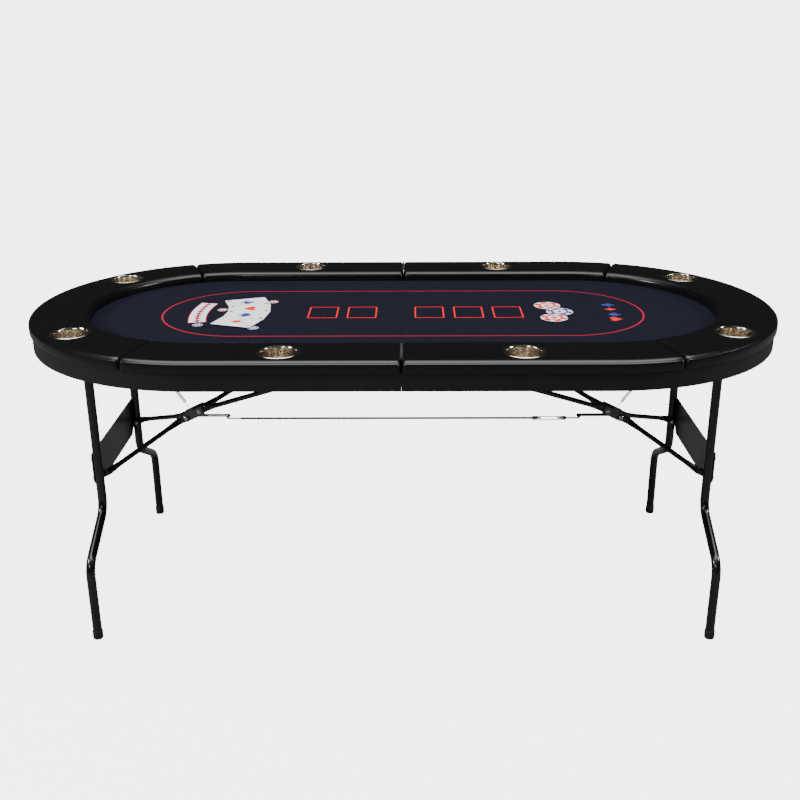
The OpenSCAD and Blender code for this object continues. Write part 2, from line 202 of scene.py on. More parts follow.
@dataclass(frozen=True)
class Finish:
    """One finish: colours, gloss, and the relief of its surface."""

    name: str
    slot: str
    colour: tuple[float, float, float]
    second: tuple[float, float, float]
    rough: float
    rough_spread: float = 0.08
    cloud_scale: float = 9.0
    metallic: float = 0.0
    specular: float = 0.5
    coat: float = 0.0
    coat_rough: float = 0.1
    sheen: float = 0.0
    relief: str = "grain"
    relief_values: tuple[float, ...] = (900.0, 0.5)
    relief_depth: float = 0.00005
    relief_strength: float = 0.3
    anisotropic: float = 0.0
    made: dict[str, bpy.types.Material] = field(default_factory=dict, compare=False, repr=False)

    def material(self) -> bpy.types.Material:
        """Makes the material on first use.

        Returns:
            The finish's material.
        """
        if "it" not in self.made:
            self.made["it"] = self._build()
        return self.made["it"]

    def _build(self) -> bpy.types.Material:
        """Wires the shader: mottled colour and roughness, and a fine relief."""
        mat = bpy.data.materials.new(self.name)
        mat.use_nodes = True
        nodes, links = mat.node_tree.nodes, mat.node_tree.links
        shader = nodes["Principled BSDF"]
        fixed = {"Metallic": self.metallic, "Specular IOR Level": self.specular,
                 "Coat Weight": self.coat, "Coat Roughness": self.coat_rough,
                 "Sheen Weight": self.sheen, "Sheen Roughness": 0.5,
                 "Anisotropic": self.anisotropic}
        for socket, value in fixed.items():
            shader.inputs[socket].default_value = value
        cloud = nodes.new("ShaderNodeGroup")
        cloud.node_tree = GROUPS["mottle"]
        mottle = {"Scale": self.cloud_scale, "Base": self.rough, "Spread": self.rough_spread}
        for socket, value in mottle.items():
            cloud.inputs[socket].default_value = value
        tint = nodes.new("ShaderNodeMix")
        tint.data_type = "RGBA"
        tint.inputs["A"].default_value = (*self.colour, 1.0)
        tint.inputs["B"].default_value = (*self.second, 1.0)
        links.new(cloud.outputs["Mask"], tint.inputs["Factor"])
        links.new(tint.outputs["Result"], shader.inputs["Base Color"])
        links.new(cloud.outputs["Rough"], shader.inputs["Roughness"])
        texture = nodes.new("ShaderNodeGroup")
        texture.node_tree = GROUPS[self.relief]
        for socket, value in zip(texture.inputs, self.relief_values):
            socket.default_value = value
        bump = nodes.new("ShaderNodeBump")
        bump.inputs["Strength"].default_value = self.relief_strength
        bump.inputs["Distance"].default_value = self.relief_depth
        links.new(texture.outputs["Height"], bump.inputs["Height"])
        links.new(bump.outputs["Normal"], shader.inputs["Normal"])
        return mat


VINYL = Finish("gloss_black_vinyl", "vinyl", (0.0022, 0.0024, 0.0025), (0.0042, 0.0045, 0.0047),
               0.24, 0.08, 6.0, specular=0.42, coat=0.12, coat_rough=0.1, relief_values=(1100.0, 0.35),
               relief_depth=0.00012)
APRON = Finish("satin_apron_laminate", "apron", (0.006, 0.006, 0.0065), (0.010, 0.010, 0.011), 0.46, 0.12,
               specular=0.35, relief_values=(700.0, 0.8), relief_depth=0.00008)
TUBE = Finish("gloss_powder_coat", "black_tube", (0.0035, 0.0035, 0.004), (0.006, 0.006, 0.0065),
              0.2, 0.1, 14.0, coat=0.25, coat_rough=0.06, relief_values=(420.0, 0.9),
              relief_depth=0.00008, relief_strength=0.25)
PLATE = Finish("dark_painted_plate", "dark_steel", (0.035, 0.036, 0.040), (0.052, 0.054, 0.058), 0.36, 0.14,
               relief_values=(500.0, 0.9), relief_depth=0.0001)
ZINC = Finish("bright_zinc", "zinc", (0.60, 0.61, 0.62), (0.44, 0.45, 0.46), 0.26, 0.16, 60.0, metallic=1.0,
              relief_values=(300.0, 0.9), relief_depth=0.00006)
STEEL = Finish("polished_stainless", "stainless", (0.84, 0.79, 0.70), (0.70, 0.63, 0.53), 0.15, 0.08, 20.0,
               metallic=1.0, relief="streak", relief_values=(60.0, 60.0, 1600.0), relief_depth=0.00005,
               relief_strength=0.35)
SPRING = Finish("drawn_spring_steel", "spring_steel", (0.42, 0.42, 0.43), (0.30, 0.30, 0.31), 0.3, 0.14, 90.0,
                metallic=1.0, relief_values=(900.0, 0.9))
CABLE = Finish("coated_wire", "coated_wire", (0.006, 0.006, 0.0065), (0.012, 0.012, 0.0125), 0.5, 0.14, 40.0,
               relief="streak", relief_values=(900.0, 60.0, 60.0), relief_depth=0.0001)
RUBBER = Finish("foot_rubber", "rubber", (0.010, 0.010, 0.010), (0.02, 0.02, 0.02), 0.62, 0.14, 60.0,
                specular=0.35, relief_values=(600.0, 0.4), relief_depth=0.0002)
WOOD = Finish("dark_sealed_ply", "plywood", (0.045, 0.032, 0.023), (0.085, 0.060, 0.042), 0.55, 0.14, 5.0,
              relief="streak", relief_values=(4.0, 220.0, 220.0), relief_depth=0.0004, relief_strength=0.5)
FELT = Finish("navy_felt", "felt", (0.0036, 0.0036, 0.0105), (0.0058, 0.0058, 0.0148), 0.95, 0.05, 30.0,
              specular=0.05, sheen=0.012, relief="grain", relief_values=(1500.0, 0.75), relief_depth=0.0005,
              relief_strength=0.55)


def ink(name: str, colour: tuple[float, float, float]) -> Finish:
    """A printed colour on the felt, broken up by the nap.

    Args:
        name: The finish's name.
        colour: Its linear colour.

    Returns:
        The finish.
    """
    dull = tuple(0.78 * c for c in colour)
    return Finish(name, "felt", colour, dull, 0.88, 0.08, 160.0, specular=0.1, sheen=0.0,
                  relief_values=(1500.0, 0.75), relief_depth=0.0004, relief_strength=0.45)


INK_CRIMSON = ink("ink_crimson", (0.42, 0.012, 0.035))
INK_RED = ink("ink_red", (0.85, 0.020, 0.014))
INK_WHITE = ink("ink_white", (0.90, 0.91, 0.94))
INK_BLUE = ink("ink_blue", (0.035, 0.055, 0.30))
INK_GREY = ink("ink_grey", (0.20, 0.20, 0.23))


# ---------------------------------------------------------------- mesh helpers


def mesh_object(name: str, verts: Iterable[Sequence[float]], faces: Iterable[Sequence[int]],
                finish: Finish, sharp: float = 35.0) -> bpy.types.Object:
    """Makes a smooth-shaded mesh object with its finish.

    Args:
        name: The object's name.
        verts: The points, in metres.
        faces: The faces, as lists of point numbers.
        finish: The finish of the whole mesh.
        sharp: Edges above this angle in degrees stay sharp.

    Returns:
        The new object, at the origin.
    """
    mesh = bpy.data.meshes.new(name)
    mesh.from_pydata([tuple(v) for v in verts], [], [tuple(f) for f in faces])
    mesh.validate()
    mesh.polygons.foreach_set("use_smooth", [True] * len(mesh.polygons))
    mesh.set_sharp_from_angle(angle=radians(sharp))
    mesh.materials.append(finish.material())
    obj = bpy.data.objects.new(name, mesh)
    bpy.context.scene.collection.objects.link(obj)
    return obj


def skin(rings: Sequence[Sequence[Vector]], flip: bool = False, cap: bool = True) -> tuple[list, list]:
    """Joins rings of equal length into a closed skin.

    Args:
        rings: The rings, in order.
        flip: Turns every face over, for a mirrored piece.
        cap: Closes the two ends.

    Returns:
        Points and faces.
    """
    n = len(rings[0])
    verts = [v for ring in rings for v in ring]
    faces = [(i * n + k, i * n + (k + 1) % n, (i + 1) * n + (k + 1) % n, (i + 1) * n + k)
             for i in range(len(rings) - 1) for k in range(n)]
    if cap:
        faces += [tuple(reversed(range(n))), tuple(range((len(rings) - 1) * n, len(rings) * n))]
    if flip:
        faces = [tuple(reversed(f)) for f in faces]
    return verts, faces


def tube_rings(path: Sequence[Vector], radius: Callable[[float], float],
               sides: int = 28) -> list[list[Vector]]:
    """Carries a circle along a path without twist.

    Args:
        path: The centreline.
        radius: The radius at each share of the path, from 0 to 1.
        sides: The circle's sides.

    Returns:
        The rings.
    """
    rings = []
    first = (path[1] - path[0]).normalized()
    across = first.orthogonal().normalized()
    for i, point in enumerate(path):
        ahead = (path[min(i + 1, len(path) - 1)] - path[max(i - 1, 0)]).normalized()
        across = (across - ahead * across.dot(ahead)).normalized()
        other = ahead.cross(across)
        r = radius(i / (len(path) - 1))
        rings.append([point + (across * cos(2 * pi * k / sides) + other * sin(2 * pi * k / sides)) * r
                      for k in range(sides)])
    return rings


def tube(name: str, path: Sequence[Vector], radius: float, finish: Finish,
         sides: int = 28) -> bpy.types.Object:
    """Makes a round bar along a path, with flat ends."""
    verts, faces = skin(tube_rings(path, lambda _: radius, sides))
    return mesh_object(name, verts, faces, finish)


def lathe(name: str, profile: Sequence[Point2], centre: Vector, axis: Vector, finish: Finish,
          sides: int = 64) -> bpy.types.Object:
    """Turns a profile about an axis.

    Args:
        name: The object's name.
        profile: Radius and height pairs; a radius of 0 closes the skin.
        centre: Where height 0 lies.
        axis: The direction of rising height.
        finish: The finish.
        sides: The steps of one turn.

    Returns:
        The turned piece.
    """
    turn = axis.to_track_quat("Z", "Y").to_matrix()
    verts, faces, rows = [], [], []
    for r, h in profile:
        if r < 1e-7:
            rows.append([len(verts)])
            verts.append(centre + turn @ Vector((0, 0, h)))
            continue
        rows.append(list(range(len(verts), len(verts) + sides)))
        verts += [centre + turn @ Vector((r * cos(2 * pi * k / sides), r * sin(2 * pi * k / sides), h))
                  for k in range(sides)]
    for low, high in zip(rows, rows[1:]):
        for k in range(sides):
            m = (k + 1) % sides
            if len(low) == 1:
                faces.append((low[0], high[m], high[k]))
            elif len(high) == 1:
                faces.append((low[k], low[m], high[0]))
            else:
                faces.append((low[k], low[m], high[m], high[k]))
    return mesh_object(name, verts, faces, finish)


def join(name: str, parts: Sequence[bpy.types.Object]) -> bpy.types.Object:
    """Joins several pieces of one finish into one object.

    Args:
        name: The joined object's name.
        parts: The pieces.

    Returns:
        The joined object.
    """
    verts: list[Vector] = []
    faces: list[tuple[int, ...]] = []
    material = parts[0].data.materials[0]
    for part in parts:
        start = len(verts)
        verts += [v.co.copy() for v in part.data.vertices]
        faces += [tuple(start + i for i in p.vertices) for p in part.data.polygons]
    mesh = bpy.data.meshes.new(name)
    mesh.from_pydata(verts, [], faces)
    mesh.polygons.foreach_set("use_smooth", [True] * len(mesh.polygons))
    mesh.set_sharp_from_angle(angle=radians(35))
    mesh.materials.append(material)
    obj = bpy.data.objects.new(name, mesh)
    bpy.context.scene.collection.objects.link(obj)
    for part in parts:
        bpy.data.objects.remove(part)
    return obj


def fit_piece(obj: bpy.types.Object, body: str, finish: Finish, *nodes: str) -> bpy.types.Object:
    """Rides a piece on its body and the nodes that it stands for."""
    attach(obj, body)
    if nodes:
        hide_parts(*nodes)
    log.info("%s rides on %s", obj.name, body)
    return obj


def middle(node: str) -> Vector:
    """The middle of a node's box."""
    low, high = (Vector(c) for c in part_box(node))
    return (low + high) / 2


def joint_at(name: str) -> Vector:
    """A joint's pivot at rest."""
    return Vector(next(j for j in frame["joints"] if j["name"] == name)["pos_m"])


def refinish(node: str, finish: Finish) -> None:
    """Gives a carried-over frame node its finish."""
    obj = frame["nodes"][node]
    obj.data.materials.clear()
    obj.data.materials.append(finish.material())


# ---------------------------------------------------------------- the padded rail and the cups


@dataclass
class Top:
    """Driving sizes of the top, read from the frame."""

    half_l: float = field(init=False)
    half_w: float = field(init=False)
    rail_low: float = field(init=False)
    rail_high: float = field(init=False)
    felt_top: float = field(init=False)
    rail_w: float = 0.142

    def __post_init__(self) -> None:
        """Measures the rails and the felt."""
        low, high = (Vector(c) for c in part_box("left_end_rail"))
        self.half_l, self.half_w = -low.x, Vector(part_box("left_rear_rail")[1]).y
        self.rail_low, self.rail_high = low.z, high.z
        self.felt_top = Vector(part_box("left_felt")[1]).z

    @property
    def arc_x(self) -> float:
        """Where the round ends have their centre."""
        return self.half_l - self.half_w


@dataclass
class PaddedRail:
    """The six upholstered rail pieces, rolled over at their edges and ends."""

    top: Top
    seam_angle: float = radians(71)
    seam_half: float = 0.0004
    end_gap: float = 0.0012
    roll: float = 0.0125
    end_roll: float = 0.009
    crown: float = 0.0014
    hole_r: float = 0.0412
    steps: int = 9

    def section(self, inset: float) -> list[Point2]:
        """The rail's outline, drawn in by an inset near its ends.

        Args:
            inset: How far the outline is drawn in.

        Returns:
            Distance from the centre of curvature and height, in order.
        """
        inner = self.top.half_w - self.top.rail_w + inset
        outer = self.top.half_w - inset
        low, high = self.top.rail_low, self.top.rail_high - inset
        r, small = self.roll, 0.003
        mid, half = (inner + outer) / 2, (outer - inner) / 2
        outline: list[Point2] = []
        corners = ((outer - small, low + small, small, -90.0), (outer - r, high - r, r, 0.0),
                   (inner + r, high - r, r, 90.0), (inner + small, low + small, small, 180.0))
        for number, (u, v, radius, start) in enumerate(corners):
            for i in range(self.steps + 1):
                a = radians(start + 90 * i / self.steps)
                outline.append((u + radius * cos(a), v + radius * sin(a)))
            if number == 1:
                span = outer - inner - 2 * r
                outline += [(outer - r - span * i / 10, high) for i in range(1, 10)]
        return [(u, v - self.crown * max(0.0, ((u - mid) / half)) ** 2 if v > high - r * 0.6 else v)
                for u, v in outline]

    def end_insets(self, length: float) -> list[tuple[float, float]]:
        """Distances along a rail piece with the inset at each.

        Args:
            length: The piece's length along its middle.

        Returns:
            Pairs of distance and inset, with finer steps where the ends roll over.
        """
        r = self.end_roll
        turn = [radians(90 * i / 7) for i in range(8)]
        roll_in = [(r * (1 - cos(a)), r * (1 - sin(a))) for a in turn]
        count = max(4, int(length / 0.014))
        body = [(r + (length - 2 * r) * i / count, 0.0) for i in range(1, count)]
        return roll_in + body + [(length - s, inset) for s, inset in reversed(roll_in)]

    def end_piece(self, side: Side) -> bpy.types.Object:
        """Builds the piece round one end of the table."""
        radius = self.top.half_w - self.top.rail_w / 2
        start = self.seam_angle - self.seam_half / radius
        rings = []
        for s, inset in self.end_insets(2 * start * radius):
            a = -start + s / radius
            rings.append([Vector((side.value * (self.top.arc_x + u * cos(a)), u * sin(a), v))
                          for u, v in self.section(inset)])
        verts, faces = skin(rings, flip=side is Side.RIGHT)
        return mesh_object(f"{side.word}_end_rail_cover", verts, faces, VINYL)

    def side_piece(self, side: Side, row: Row) -> bpy.types.Object:
        """Builds one of the four long pieces, from an end seam to mid length."""
        radius = self.top.half_w - self.top.rail_w / 2
        bend = (pi / 2 - self.seam_angle - self.seam_half / radius) * radius
        straight = self.top.arc_x - self.end_gap
        rings = []
        for s, inset in self.end_insets(bend + straight):
            if s < bend:
                a = pi / 2 - (bend - s) / radius
                ring = [(self.top.arc_x + u * cos(a), u * sin(a), v) for u, v in self.section(inset)]
            else:
                ring = [(self.top.arc_x - (s - bend), u, v) for u, v in self.section(inset)]
            rings.append([Vector((side.value * x, row.value * y, z)) for x, y, z in ring])
        verts, faces = skin(rings, flip=side.value * row.value > 0)
        return mesh_object(f"{side.word}_{row.word}_rail_cover", verts, faces, VINYL)

    def cut_cups(self, rail: bpy.types.Object, cups: Sequence[str]) -> None:
        """Cuts the cup holes through a rail piece.

        Args:
            rail: The rail piece.
            cups: The cup nodes that stand in it.
        """
        for node in cups:
            at = middle(node)
            cutter = lathe("cutter", [(0, -0.06), (self.hole_r, -0.06), (self.hole_r, 0.06), (0, 0.06)],
                           Vector((at.x, at.y, self.top.rail_high)), Vector((0, 0, 1)), VINYL)
            hole = rail.modifiers.new("hole", "BOOLEAN")
            hole.operation, hole.solver, hole.object = "DIFFERENCE", "EXACT", cutter
            cut = rail.evaluated_get(bpy.context.evaluated_depsgraph_get())
            shape = bpy.data.meshes.new_from_object(cut)
            rail.modifiers.clear()
            rail.data = shape
            bpy.data.objects.remove(cutter)
        rail.data.polygons.foreach_set("use_smooth", [True] * len(rail.data.polygons))
        rail.data.set_sharp_from_angle(angle=radians(38))

    def build(self) -> None:
        """Builds, cuts and dresses all six pieces."""
        for side in Side:
            end = self.end_piece(side)
            self.cut_cups(end, [f"{side.word}_end_{row.word}_cup" for row in Row])
            self.dress(end, side, f"{side.word}_end_rail")
            for row in Row:
                piece = self.side_piece(side, row)
                self.cut_cups(piece, [f"{side.word}_{row.word}_cup"])
                self.dress(piece, side, f"{side.word}_{row.word}_rail")

    def dress(self, piece: bpy.types.Object, side: Side, node: str) -> None:
        """Rides a rail piece on its half top."""
        fit_piece(piece, f"{side.word}_top", VINYL, node)


@dataclass
class CupHolders:
    """Eight deep-drawn stainless cups with rolled rims."""

    top: Top
    rim_r: float = 0.047
    wall_r: float = 0.0398
    depth: float = 0.0568
    sheet: float = 0.0008

    def profile(self) -> list[Point2]:
        """The cup's section, from the middle of its floor up, over the rim and back down outside."""
        floor, r, t = -self.depth, self.wall_r, self.sheet
        inner = [(0, floor + 0.0012), (r * 0.55, floor + 0.0010), (r * 0.78, floor + 0.0006),
                 (r * 0.80, floor + 0.0016)]
        inner += [(r - t - 0.007 + 0.007 * sin(radians(a)), floor + 0.0076 - 0.007 * cos(radians(a)))
                  for a in range(30, 91, 12)]
        inner += [(r - t, -0.004), (r - t + 0.0004, -0.0012), (r - t + 0.0014, 0.0004),
                  (r + 0.002, 0.0008)]
        rim = [(self.rim_r - 0.0022, 0.00088), (self.rim_r - 0.0008, 0.0006), (self.rim_r, -0.0002),
               (self.rim_r - 0.0004, -0.0012), (self.rim_r - 0.002, -0.0012)]
        outer = [(r + 0.0005, -0.0014), (r, -0.003), (r, floor + 0.007), (r - 0.004, floor + 0.001),
                 (0, floor)]
        return inner + rim + outer

    def build(self) -> None:
        """Builds and dresses the eight cups."""
        for side in Side:
            for row in Row:
                for where in ("", "end_"):
                    node = f"{side.word}_{where}{row.word}_cup"
                    at = middle(node)
                    cup = lathe(f"{node}_shell", self.profile(), Vector((at.x, at.y, self.top.rail_high)),
                                Vector((0, 0, 1)), STEEL, 96)
                    fit_piece(cup, f"{side.word}_top", STEEL, node)


# ---------------------------------------------------------------- print on the felt


def ring_points(r: float, start: float = 0.0, stop: float = 360.0, count: int = 48) -> list[Point2]:
    """Points of an arc about the origin, angles in degrees."""
    return [(r * cos(radians(start + (stop - start) * i / count)),
             r * sin(radians(start + (stop - start) * i / count))) for i in range(count + 1)]


def rounded_box(w: float, h: float, r: float) -> list[Point2]:
    """Outline of a rounded rectangle about the origin."""
    outline: list[Point2] = []
    for cx, cy, start in ((1, 1, 0), (-1, 1, 90), (-1, -1, 180), (1, -1, 270)):
        outline += [(cx * (w / 2 - r) + x, cy * (h / 2 - r) + y)
                    for x, y in ring_points(r, start, start + 90, 5)]
    return outline


class Suit(Enum):
    """The four card suits."""

    CLUB = "club"
    DIAMOND = "diamond"
    SPADE = "spade"
    HEART = "heart"

    @property
    def finish(self) -> Finish:
        """Black suits are printed in blue, red suits in red."""
        return INK_RED if self in (Suit.DIAMOND, Suit.HEART) else INK_BLUE

    def outlines(self, size: float) -> list[list[Point2]]:
        """The suit's shapes about the origin, upright along +Y.

        Args:
            size: The pip's height.

        Returns:
            One outline for each overlapping shape.
        """
        h = size / 2
        stem = [(-0.28 * h, -h), (0.28 * h, -h), (0.07 * h, -0.1 * h), (-0.07 * h, -0.1 * h)]
        if self is Suit.DIAMOND:
            return [[(0, h), (-0.28 * h, 0.42 * h), (-0.74 * h, 0), (-0.28 * h, -0.42 * h), (0, -h),
                     (0.28 * h, -0.42 * h), (0.74 * h, 0), (0.28 * h, 0.42 * h)]]
        if self is Suit.CLUB:
            lobe = ring_points(0.40 * h, count=20)[:-1]
            return [[(x + cx * h, y + cy * h) for x, y in lobe]
                    for cx, cy in ((0, 0.55), (-0.44, -0.12), (0.44, -0.12))] + [stem]
        heart = []
        for i in range(40):
            t = 2 * pi * i / 40
            x, y = 16 * sin(t) ** 3, 13 * cos(t) - 5 * cos(2 * t) - 2 * cos(3 * t) - cos(4 * t)
            heart.append((x * h / 16, (y + 2) * h / 15.5))
        if self is Suit.HEART:
            return [heart]
        return [[(x * 0.92, -y * 0.82 + 0.16 * h) for x, y in heart], stem]


@dataclass
class FeltPrint:
    """The racing line, betting boxes, card fan, chips, suits and ribbon printed on the felt."""

    top: Top
    line_half_l: float = 0.603
    line_half_w: float = 0.206
    line_w: float = 0.0046
    lift: float = 0.00025
    layer: float = 0.00018
    overlap: float = 0.0009
    fan_x: float = -0.68
    fan_r: float = 0.29
    fan_step: float = 12.5
    ribbon_r: float = 0.40

    def flat(self, name: str, outlines: Sequence[Sequence[Point2]], place: Matrix, level: int,
             finish: Finish) -> bpy.types.Object:
        """Lays flat outlines on the felt.

        Args:
            name: The object's name.
            outlines: Closed outlines in the plane of the felt.
            place: Moves the outlines to where they lie.
            level: How many layers of ink lie below.
            finish: The ink.

        Returns:
            The printed piece.
        """
        verts, faces = [], []
        z = self.top.felt_top + self.lift + level * self.layer
        for outline in outlines:
            start = len(verts)
            verts += [place @ Vector((x, y, 0)) + Vector((0, 0, z)) for x, y in outline]
            faces.append(tuple(range(start, len(verts))))
        obj = mesh_object(name, verts, faces, finish)
        for polygon in obj.data.polygons:
            if polygon.normal.z < 0:
                polygon.flip()
        return obj

    def band(self, points: Sequence[Point2], width: float) -> list[list[Point2]]:
        """Cuts a line of some width into four-sided outlines."""
        edges = []
        for i, (x, y) in enumerate(points):
            bx, by = points[max(i - 1, 0)]
            ax, ay = points[min(i + 1, len(points) - 1)]
            length = hypot(ax - bx, ay - by)
            nx, ny = -(ay - by) / length * width / 2, (ax - bx) / length * width / 2
            edges.append(((x + nx, y + ny), (x - nx, y - ny)))
        return [[a[0], a[1], b[1], b[0]] for a, b in zip(edges, edges[1:])]

    def put(self, obj: bpy.types.Object, x: float) -> None:
        """Rides a printed piece on the half top it lies on."""
        fit_piece(obj, "left_top" if x < 0 else "right_top", FELT)

    def racing_line(self) -> None:
        """Prints the red line, split at the seam."""
        r, cx = self.line_half_w, self.line_half_l - self.line_half_w
        for side in Side:
            points = [(0.0008, r), (cx, r)]
            points += [(cx + x, y) for x, y in ring_points(r, 90, -90, 60)[1:]] + [(0.0008, -r)]
            line = self.flat(f"{side.word}_racing_line",
                             self.band([(side.value * x, y) for x, y in points], self.line_w),
                             Matrix.Identity(4), 0, INK_CRIMSON)
            self.put(line, side.value)

    def boxes(self) -> None:
        """Prints the five red outlines where the shared cards lie."""
        for i, x in enumerate((-0.200, -0.102, 0.067, 0.1655, 0.264)):
            place = Matrix.Translation((x, -0.003, 0))
            outline = self.band(self.closed(rounded_box(0.0705, 0.098, 0.0015)), 0.0036)
            self.put(self.flat(f"card_box_{i}", outline, place, 0, INK_RED), x)

    @staticmethod
    def closed(points: list[Point2]) -> list[Point2]:
        """Repeats the first points at the end, so that a band closes."""
        return points + points[:2]

    def card(self, name: str, place: Matrix, suit: Suit) -> None:
        """Prints one playing card with its pips."""
        x = place.translation.x
        self.put(self.flat(f"{name}_edge", [rounded_box(0.1075, 0.0765, 0.005)], place, 0, INK_GREY), x)
        self.put(self.flat(f"{name}_face", [rounded_box(0.1055, 0.0745, 0.004)], place, 1, INK_WHITE), x)
        spots = [(0.0, 0.0, 0.036, 0.0), (-0.044, 0.026, 0.012, 0.0), (0.044, -0.026, 0.012, pi)]
        for number, (px, py, size, turn) in enumerate(spots):
            spot = place @ Matrix.Translation((px, py, 0)) @ Matrix.Rotation(turn - pi / 2, 4, "Z")
            self.put(self.flat(f"{name}_pip_{number}", suit.outlines(size), spot, 2 + number, suit.finish), x)

    def card_fan(self) -> None:
        """Prints the four cards fanned on the left."""
        for i, suit in enumerate((Suit.CLUB, Suit.HEART, Suit.SPADE, Suit.DIAMOND)):
            a = radians(self.fan_step * (1.5 - i))
            at = (self.fan_x + self.fan_r * cos(a), self.fan_r * sin(a), i * self.overlap)
            place = Matrix.Translation(at) @ Matrix.Rotation(a, 4, "Z")
            self.card(f"fan_card_{i}", place, suit)

    def ribbon(self) -> None:
        """Prints the plain arched ribbon left of the fan, with a row of small diamonds."""
        r = self.ribbon_r
        place = Matrix.Translation((r - 0.5125, -0.002, 0))
        self.put(self.flat("ribbon_edge", self.band(ring_points(r, 167.0, 193.0, 24), 0.046), place, 0,
                           INK_CRIMSON), -1)
        self.put(self.flat("ribbon_band", self.band(ring_points(r, 167.5, 192.5, 24), 0.041), place, 1,
                           INK_WHITE), -1)
        pips = []
        for i in range(8):
            a = radians(169.2 + 21.6 * i / 7)
            spin = Matrix.Rotation(a, 2)
            pips += [[(r * cos(a) + (spin @ Vector(p)).x, r * sin(a) + (spin @ Vector(p)).y)
                      for p in outline] for outline in Suit.DIAMOND.outlines(0.026)]
        self.put(self.flat("ribbon_pips", pips, place, 2, INK_CRIMSON), -1)

    def chips(self) -> None:
        """Prints the three chips on the right and the four small ones round the fan."""
        chips = ((0.371, 0.057, 0.0335, INK_RED), (0.395, -0.004, 0.0335, INK_BLUE),
                 (0.374, -0.062, 0.0335, INK_RED), (-0.338, 0.099, 0.0125, INK_RED),
                 (-0.459, 0.023, 0.0125, INK_RED), (-0.3591, -0.138, 0.0135, INK_BLUE),
                 (-0.4977, -0.1115, 0.0125, INK_BLUE))
        for i, (x, y, r, tone) in enumerate(chips):
            place = Matrix.Translation((x, y, i * self.overlap if x > 0 else 0.0))
            self.put(self.flat(f"chip_{i}_rim", [ring_points(r)[:-1]], place, 0, INK_WHITE), x)
            self.put(self.flat(f"chip_{i}_body", [ring_points(0.94 * r)[:-1]], place, 1, tone), x)
            spots = [ring_points(0.94 * r, a, a + 26, 6) + ring_points(0.67 * r, a + 26, a, 6)
                     for a in range(0, 360, 60)]
            self.put(self.flat(f"chip_{i}_spots", spots, place, 2, INK_WHITE), x)
            self.put(self.flat(f"chip_{i}_disc", [ring_points(0.49 * r)[:-1]], place, 3, INK_WHITE), x)
            mark = Suit.DIAMOND if i % 2 else Suit.SPADE
            self.put(self.flat(f"chip_{i}_mark", mark.outlines(0.57 * r), place, 4, tone), x)

    def suits(self) -> None:
        """Prints the column of four suits at the right."""
        column = ((0.062, Suit.CLUB), (0.020, Suit.DIAMOND), (-0.028, Suit.SPADE), (-0.068, Suit.HEART))
        for y, suit in column:
            place = Matrix.Translation((0.527, y, 0)) @ Matrix.Rotation(pi / 2, 4, "Z")
            self.put(self.flat(f"suit_{suit.value}", suit.outlines(0.034), place, 0, suit.finish), 1)

    def build(self) -> None:
        """Prints everything."""
        for step in (self.racing_line, self.boxes, self.card_fan, self.ribbon, self.chips, self.suits):
            step()


# ---------------------------------------------------------------- legs, braces, springs and the tie


